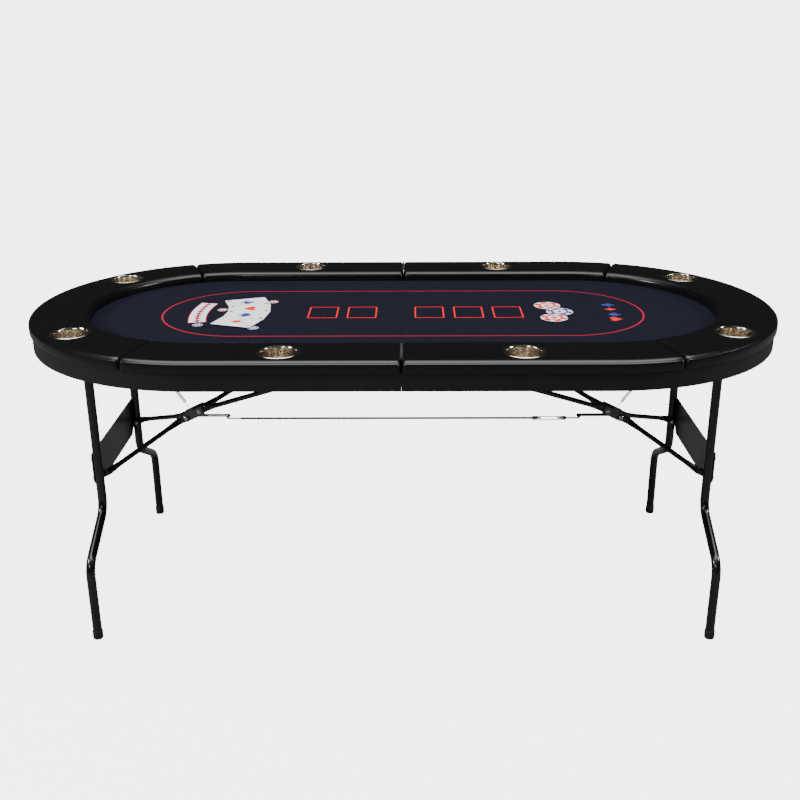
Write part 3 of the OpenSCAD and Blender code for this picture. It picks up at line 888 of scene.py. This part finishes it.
@dataclass
class LegFrame:
    """One folding frame: two bent legs, the cross plate, rivets and foot caps."""

    side: Side
    bend_r: float = 0.050
    splay: float = radians(62)
    splay_z: float = 0.310
    tube_r: float = 0.011
    cap_r: float = 0.0125
    plate_rivet_low: float = 0.034
    plate_rivet_high: float = 0.014

    def leg_path(self, row: Row) -> list[Vector]:
        """The centreline of one leg, from the hinge tube to inside the foot cap."""
        node = f"{self.side.word}_{row.word}_leg"
        low, high = (Vector(c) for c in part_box(node))
        x = (low.x + high.x) / 2
        near, far = sorted((abs(low.y), abs(high.y)))
        upper, lower = near + self.tube_r, far - self.tube_r
        drop, out = self.bend_r * sin(self.splay), self.bend_r * (1 - cos(self.splay))
        slant = (lower - upper - 2 * out) / sin(self.splay)
        end_z = self.splay_z - 2 * drop - slant * cos(self.splay)
        steps = 14
        points = [(upper, high.z - (high.z - self.splay_z) * i / 6) for i in range(6)]
        points += [(upper + self.bend_r * (1 - cos(self.splay * i / steps)),
                    self.splay_z - self.bend_r * sin(self.splay * i / steps)) for i in range(steps + 1)]
        points += [(lower - self.bend_r * (1 - cos(self.splay * i / steps)),
                    end_z + self.bend_r * sin(self.splay * i / steps)) for i in range(steps, -1, -1)]
        points += [(lower, end_z + (0.004 - end_z) * i / 5) for i in range(1, 6)]
        return [Vector((x, row.value * y, z)) for y, z in points]

    def build(self) -> None:
        """Builds the legs, the caps and the rivets."""
        word, body = self.side.word, f"{self.side.word}_leg_frame"
        caps = []
        for row in Row:
            path = self.leg_path(row)
            leg = tube(f"{word}_{row.word}_leg_tube", path, self.tube_r, TUBE, 40)
            fit_piece(leg, body, TUBE, f"{word}_{row.word}_leg")
            foot = Vector((path[-1].x, path[-1].y, 0))
            r = self.cap_r
            profile = [(0, 0), (r - 0.003, 0), (r - 0.0006, 0.0012), (r, 0.004), (r - 0.0006, 0.0055),
                       (r - 0.0006, 0.0068), (r, 0.008), (r, 0.0215), (r - 0.0006, 0.0236),
                       (r - 0.0014, 0.024), (r - 0.0022, 0.023)]
            caps.append(lathe("cap", profile, foot, Vector((0, 0, 1)), RUBBER, 48))
        fit_piece(join(f"{word}_rubber_feet", caps), body, RUBBER, f"{word}_foot_caps")
        self.rivets(body)

    def rivets(self, body: str) -> None:
        """Builds the brace pins and the domed rivets of the cross plate."""
        word, parts = self.side.word, []
        plate_low, plate_high = (Vector(c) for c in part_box(f"{word}_leg_plate"))
        out = Vector((self.side.value, 0, 0))
        outer_x = max(abs(plate_low.x), abs(plate_high.x)) * self.side.value
        leg_y = abs(self.leg_path(Row.REAR)[0].y)
        lug_z = joint_at(f"{word}_lower_brace_swing").z
        for row in Row:
            for z in (plate_low.z + self.plate_rivet_low, plate_high.z - self.plate_rivet_high):
                at = Vector((outer_x, row.value * leg_y, z))
                parts.append(lathe("r", dome(0.0062, 0.0026), at, out, ZINC, 28))
            at = Vector((self.leg_path(row)[0].x, row.value * (leg_y - self.tube_r + 0.001), lug_z))
            inward = Vector((0, -row.value, 0))
            profile = [(0, -0.003), (0.004, -0.003), (0.004, 0.0065)] + dome(0.0062, 0.0022, 0.0065)
            parts.append(lathe("p", profile, at, inward, ZINC, 28))
        fit_piece(join(f"{word}_leg_rivets", parts), body, ZINC, f"{word}_leg_pins")


def dome(r: float, h: float, start: float = 0.0) -> list[Point2]:
    """Profile of a domed head of radius r and height h, from a start height."""
    return [(r, start), (r, start + h * 0.25)] + [
        (r * cos(radians(a)), start + h * 0.25 + h * 0.75 * sin(radians(a))) for a in (20, 40, 60, 78)
    ] + [(0, start + h)]


@dataclass
class Braces:
    """The V braces of one side: round tubes whose ends are pressed flat for their rivets."""

    side: Side
    tube_r: float = 0.0065
    flat_l: float = 0.022
    change_l: float = 0.026
    tab_r: float = 0.009
    pin_tab_t: float = 0.0040
    knee_tab_t: float = 0.0030
    rivet_reach: float = 0.038

    def pressed_tube(self, name: str, start: Vector, end: Vector, first: float,
                     last: float) -> bpy.types.Object:
        """Builds one brace tube with a flattened, rounded end at each pin.

        Args:
            name: The object's name.
            start: The middle of the first pin's tab.
            end: The middle of the last pin's tab.
            first: Thickness of the first tab.
            last: Thickness of the last tab.

        Returns:
            The tube.
        """
        run = Vector((end.x - start.x, 0, end.z - start.z))
        along, length = run.normalized(), run.length
        across, up = Vector((0, 1, 0)), along.cross(Vector((0, 1, 0)))
        tab_r = self.tab_r
        stations: list[tuple[float, float, float]] = []
        for i in range(9):
            a = radians(90 * i / 8)
            stations.append((-tab_r * cos(a), max(0.0008, tab_r * sin(a)), first / 2))
        stations.append((self.flat_l, tab_r, first / 2))
        for i in range(1, 9):
            t = i / 8
            ease = t * t * (3 - 2 * t)
            stations.append((self.flat_l + self.change_l * t, tab_r + (self.tube_r - tab_r) * ease,
                             first / 2 + (self.tube_r - first / 2) * ease))
        far = []
        for s, wide, thick in stations:
            share = 0.0 if thick < first / 2 + 1e-6 else (thick - first / 2) / (self.tube_r - first / 2)
            far.append((length - s, wide, last / 2 + (self.tube_r - last / 2) * share))
        rings = []
        bend0, bend1 = self.flat_l, length - self.flat_l
        for s, wide, thick in stations + list(reversed(far)):
            share = min(max((s - bend0) / (bend1 - bend0), 0.0), 1.0)
            centre = start + along * s + across * ((end.y - start.y) * share)
            power = 1.0 if thick > self.tube_r - 1e-6 else 0.55
            ring = []
            for k in range(32):
                a = 2 * pi * k / 32
                c, d = cos(a), sin(a)
                ring.append(centre + across * (thick * abs(c) ** power * (1 if c >= 0 else -1))
                            + up * (wide * abs(d) ** (1.0 if power == 1.0 else 0.85) * (1 if d >= 0 else -1)))
            rings.append(ring)
        verts, faces = skin(rings)
        return mesh_object(name, verts, faces, TUBE, 50)

    def knee(self) -> Vector:
        """The knee pin: both braces meet there on one line when the frame is down."""
        low = joint_at(f"{self.side.word}_lower_brace_swing")
        high = joint_at(f"{self.side.word}_upper_brace_swing")
        span, drop = abs(low.x) - abs(high.x), high.z - low.z
        share = (hypot(span, drop) - (span - drop)) / 2 / hypot(span, drop)
        return low.lerp(high, share)

    def build(self) -> None:
        """Builds the four brace tubes and the rivets of one side."""
        word = self.side.word
        low = joint_at(f"{word}_lower_brace_swing")
        high = joint_at(f"{word}_upper_brace_swing")
        knee = self.knee()
        up = (high - knee).normalized()
        rivet = knee + up * self.rivet_reach
        for row in Row:
            s = row.value
            lower_box = [Vector(c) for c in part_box(f"{word}_{row.word}_lower_brace")]
            upper_box = [Vector(c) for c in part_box(f"{word}_{row.word}_upper_brace")]
            leg_tab = max(abs(lower_box[0].y), abs(lower_box[1].y)) - self.pin_tab_t / 2
            far_tab = max(abs(upper_box[0].y), abs(upper_box[1].y)) - self.pin_tab_t / 2
            lower = self.pressed_tube(f"{word}_{row.word}_lower_brace_tube",
                                      Vector((low.x, s * leg_tab, low.z)),
                                      Vector((knee.x, s * 0.0210, knee.z)), self.pin_tab_t, self.knee_tab_t)
            head = lathe("h", dome(0.0062, 0.0022), Vector((knee.x, s * 0.0224, knee.z)),
                         Vector((0, s, 0)), ZINC, 28)
            fit_piece(lower, f"{word}_lower_braces", TUBE, f"{word}_{row.word}_lower_brace")
            fit_piece(head, f"{word}_lower_braces", ZINC)
            head.name = f"{word}_{row.word}_knee_rivet"
            upper = self.pressed_tube(f"{word}_{row.word}_upper_brace_tube",
                                      Vector((high.x, s * far_tab, high.z)),
                                      Vector((rivet.x, s * 0.0140, rivet.z)), self.pin_tab_t, self.knee_tab_t)
            fit_piece(upper, f"{word}_upper_braces", TUBE, f"{word}_{row.word}_upper_brace")
        profile = [(0, -0.0072), (0.005, -0.0072), (0.005, -0.0062), (0.004, -0.0062), (0.004, -0.0018),
                   (0.0058, -0.0001), (0.0055, 0.0001), (0, 0.0002)]
        heads = [lathe("h", profile, Vector((rivet.x, row.value * 0.019, rivet.z)),
                       Vector((0, row.value, 0)), ZINC, 28) for row in Row]
        fit_piece(join(f"{word}_bracket_rivets", heads), f"{word}_upper_braces", ZINC, f"{word}_knee_rivets")


@dataclass
class KneeSpring:
    """A thin extension spring from a knee up to the board."""

    side: Side
    wire_r: float = 0.0008
    coil_r: float = 0.0037
    coil_l: float = 0.068
    turns: int = 30

    def build(self) -> None:
        """Winds the spring on the straight line between the board and the knee."""
        word = self.side.word
        low_box, high_box = (Vector(c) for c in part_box(f"{word}_spring"))
        inner, outer = sorted((low_box.x, high_box.x), key=abs)
        low, high = Vector((inner, 0, low_box.z)), Vector((outer, 0, high_box.z))
        low += Vector((self.side.value, 0, 1)) * 0.001
        high += Vector((-self.side.value, 0, -1)) * 0.001
        way = (high - low).normalized()
        across = Vector((0, 1, 0))
        other = way.cross(across)
        path = [low + way * (0.019 * i / 6) for i in range(6)]
        steps = self.turns * 12
        for i in range(steps + 1):
            t, a = i / steps, 2 * pi * self.turns * i / steps
            grow = min(1.0, i / 8, (steps - i) / 8)
            path.append(low + way * (0.020 + self.coil_l * t)
                        + (across * cos(a) + other * sin(a)) * self.coil_r * grow)
        rest = low + way * (0.021 + self.coil_l)
        path += [rest.lerp(high, i / 14) for i in range(1, 15)]
        spring = tube(f"{word}_spring_coil", path, self.wire_r, SPRING, 8)
        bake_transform(spring)
        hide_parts(f"{word}_spring")
        log.info("%s bends between the board and the knee", spring.name)


@dataclass
class TieWire:
    """The coated wire between the knees, its hooks and its turnbuckle."""

    wire_r: float = 0.002
    coating_r: float = 0.0028
    hook_r: float = 0.0055
    hook_l: float = 0.030
    rod_gap: float = 0.0040
    rod_r: float = 0.0013
    thread_pitch: float = 0.0011
    thread_turns: int = 22

    def build(self) -> None:
        """Builds the wire, the hooks and the turnbuckle."""
        low, high = (Vector(c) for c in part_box("tie_wire"))
        z = (low.z + high.z) / 2
        hooks_low, hooks_high = (Vector(c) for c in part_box("tie_hooks"))
        path = [Vector((low.x + (high.x - low.x) * i / 60, 0, z)) for i in range(61)]
        wire = tube("tie_wire_coating", path, self.coating_r, CABLE, 24)
        fit_piece(wire, "tie", CABLE, "tie_wire")
        hooks = []
        for side in Side:
            pin_x = side.value * (abs(hooks_low.x) - self.hook_r - self.wire_r)
            arc = [Vector((pin_x + side.value * self.hook_r * abs(cos(radians(a))), 0,
                           z + self.hook_r + self.hook_r * sin(radians(a)))) for a in range(185, 271, 5)]
            tail = [Vector((pin_x - side.value * self.hook_l * i / 6, 0, z)) for i in range(1, 7)]
            hooks.append(tube("hook", arc + tail, self.wire_r, ZINC, 16))
        fit_piece(join("tie_hook_rods", hooks), "tie", ZINC, "tie_hooks")
        self.turnbuckle(z)

    def turnbuckle(self, z: float) -> None:
        """Builds the open-bodied turnbuckle with its threaded rods."""
        low, high = (Vector(c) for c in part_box("turnbuckle"))
        parts = []
        for end, way in ((low.x, 1), (high.x, -1)):
            collar = [(0.0022, 0), (0.0045, 0.0004), (0.0053, 0.002), (0.0053, 0.011), (0.0040, 0.014),
                      (0.0022, 0.0145)]
            parts.append(lathe("c", collar, Vector((end, 0, z)), Vector((way, 0, 0)), ZINC, 32))
            thread = []
            for i in range(self.thread_turns):
                h = i * self.thread_pitch
                thread += [(0.0018, h), (0.0022, h + self.thread_pitch / 2)]
            thread.append((0, self.thread_turns * self.thread_pitch))
            parts.append(lathe("t", [(0, 0)] + thread, Vector((end, 0, z)), Vector((way, 0, 0)), ZINC, 20))
        for s in (-1, 1):
            rod = [Vector((low.x + 0.008 + (high.x - low.x - 0.016) * i / 8, 0, z + s * self.rod_gap))
                   for i in range(9)]
            parts.append(tube("b", rod, self.rod_r, ZINC, 14))
        fit_piece(join("turnbuckle_body", parts), "tie", ZINC, "turnbuckle")


@dataclass
class Screws:
    """Pan-head screws that hold the leg clamps under the board."""

    side: Side
    reach: float = 0.021
    strap_t: float = 0.0025
    row_inset: float = 0.012
    head_r: float = 0.0042
    head_h: float = 0.0022

    def build(self) -> None:
        """Builds the screws of one half."""
        word, parts = self.side.word, []
        low, high = (Vector(c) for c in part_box(f"{word}_leg_clamps"))
        x, z = (low.x + high.x) / 2, high.z - self.strap_t
        for row in Row:
            y = row.value * (max(abs(low.y), abs(high.y)) - self.row_inset)
            for s in (-1, 1):
                parts.append(lathe("s", dome(self.head_r, self.head_h), Vector((x + s * self.reach, y, z)),
                                   Vector((0, 0, -1)), ZINC, 24))
        fit_piece(join(f"{word}_saddle_screws", parts), f"{word}_top", ZINC)


# ---------------------------------------------------------------- carried-over nodes, stage and camera


CARRIED = {
    "board": WOOD, "batten": WOOD, "felt": FELT, "apron": APRON, "hinge_leaves": PLATE, "leg_clamps": PLATE,
    "brace_brackets": PLATE, "leg_crossbar": TUBE, "leg_plate": PLATE, "knee_bracket": PLATE,
}


def dress_frame() -> None:
    """Gives every carried-over node its finish."""
    for side in Side:
        for part, finish in CARRIED.items():
            refinish(f"{side.word}_{part}", finish)
    refinish("hinge_pins", ZINC)
    refinish("left_tie_bar", ZINC)
    refinish("right_tie_bar", TUBE)


@dataclass
class Studio:
    """A pale floor, soft lights and the camera."""

    camera_at: tuple[float, float, float] = (0.0194, -2.5472, 1.4551)
    pitch: float = 0.3594
    turn: float = 0.0076
    roll: float = -0.0045
    lens: float = 47.0
    shift_x: float = -0.0039
    room: float = 0.62
    backdrop: float = 4.6
    sweep_glow: float = 4.6
    floor_half: float = 90.0
    sensor: float = 36.0

    def floor(self) -> None:
        """Lays the pale floor."""
        size = self.floor_half
        verts = [(-size, -size, 0), (size, -size, 0), (size, size, 0), (-size, size, 0)]
        stage = Finish("pale_floor", "", (0.17, 0.17, 0.17), (0.16, 0.16, 0.16), 0.85, 0.05, 1.0,
                       specular=0.0)
        floor = mesh_object("studio_floor", verts, [(0, 1, 2, 3)], stage)
        nodes, links = stage.material().node_tree.nodes, stage.material().node_tree.links
        seen = nodes.new("ShaderNodeLightPath")
        glow = nodes.new("ShaderNodeMath")
        glow.operation = "MULTIPLY"
        glow.inputs[1].default_value = self.sweep_glow
        links.new(seen.outputs["Is Camera Ray"], glow.inputs[0])
        shader = nodes["Principled BSDF"]
        shader.inputs["Emission Color"].default_value = (1, 1, 1, 1)
        links.new(glow.outputs[0], shader.inputs["Emission Strength"])

    def light(self, name: str, at: Sequence[float], aim: Sequence[float], size: tuple[float, float],
              power: float) -> None:
        """Hangs one soft box.

        Args:
            name: The light's name.
            at: Where it hangs.
            aim: What it points at.
            size: Its width and height.
            power: Its power in watts.
        """
        data = bpy.data.lights.new(name, "AREA")
        data.shape, data.size, data.size_y, data.energy = "RECTANGLE", size[0], size[1], power
        lamp = bpy.data.objects.new(name, data)
        lamp.location = at
        lamp.rotation_euler = (Vector(aim) - Vector(at)).to_track_quat("-Z", "Y").to_euler()
        bpy.context.scene.collection.objects.link(lamp)

    def surroundings(self) -> None:
        """Lights the room dimly and shows it pale, as a studio sweep does."""
        world = bpy.data.worlds.new("studio")
        world.use_nodes = True
        nodes, links = world.node_tree.nodes, world.node_tree.links
        place = nodes.new("ShaderNodeTexCoord")
        height = nodes.new("ShaderNodeSeparateXYZ")
        ceiling = nodes.new("ShaderNodeMapRange")
        for socket, value in (("From Min", 0.70), ("From Max", 0.98), ("To Min", 0.02), ("To Max", 2.0)):
            ceiling.inputs[socket].default_value = value
        links.new(place.outputs["Generated"], height.inputs[0])
        links.new(height.outputs["Z"], ceiling.inputs["Value"])
        seen = nodes.new("ShaderNodeLightPath")
        mirrored, shown = nodes.new("ShaderNodeMix"), nodes.new("ShaderNodeMix")
        mirrored.inputs["A"].default_value = self.room
        shown.inputs["B"].default_value = self.backdrop
        links.new(seen.outputs["Is Glossy Ray"], mirrored.inputs["Factor"])
        links.new(ceiling.outputs["Result"], mirrored.inputs["B"])
        links.new(mirrored.outputs["Result"], shown.inputs["A"])
        links.new(seen.outputs["Is Camera Ray"], shown.inputs["Factor"])
        links.new(shown.outputs["Result"], nodes["Background"].inputs["Strength"])
        nodes["Background"].inputs["Color"].default_value = (1, 1, 1, 1)
        bpy.context.scene.world = world

    def build(self) -> None:
        """Sets the floor, the lights, the surroundings and the camera."""
        self.floor()
        self.light("overhead_box", (0.0, -0.6, 3.2), (0, 0, 0.4), (4.4, 2.0), 110)
        self.light("front_box", (-1.6, -3.6, 2.3), (0, 0, 0.7), (1.2, 0.16), 26)
        self.light("right_box", (3.2, -0.5, 1.9), (0.7, 0, 0.7), (0.8, 0.16), 40)
        self.light("left_box", (-3.0, -1.2, 1.9), (-0.7, 0, 0.7), (0.8, 0.2), 60)
        self.surroundings()
        data = bpy.data.cameras.new("camera")
        data.lens, data.sensor_width, data.shift_x = self.lens, self.sensor, self.shift_x
        camera = bpy.data.objects.new("camera", data)
        camera.matrix_world = (Matrix.Translation(self.camera_at) @ Matrix.Rotation(self.turn, 4, "Z")
                               @ Matrix.Rotation(pi / 2 - self.pitch, 4, "X")
                               @ Matrix.Rotation(self.roll, 4, "Z"))
        bpy.context.scene.collection.objects.link(camera)
        bpy.context.scene.camera = camera


def main() -> None:
    """Builds every sub-assembly in order."""
    logging.basicConfig(level=logging.INFO, format="%(name)s: %(message)s")
    Studio().build()
    top = Top()
    dress_frame()
    PaddedRail(top).build()
    CupHolders(top).build()
    FeltPrint(top).build()
    for side in Side:
        LegFrame(side).build()
        Braces(side).build()
        KneeSpring(side).build()
        Screws(side).build()
    TieWire().build()


if __name__ == "__main__":
    main()
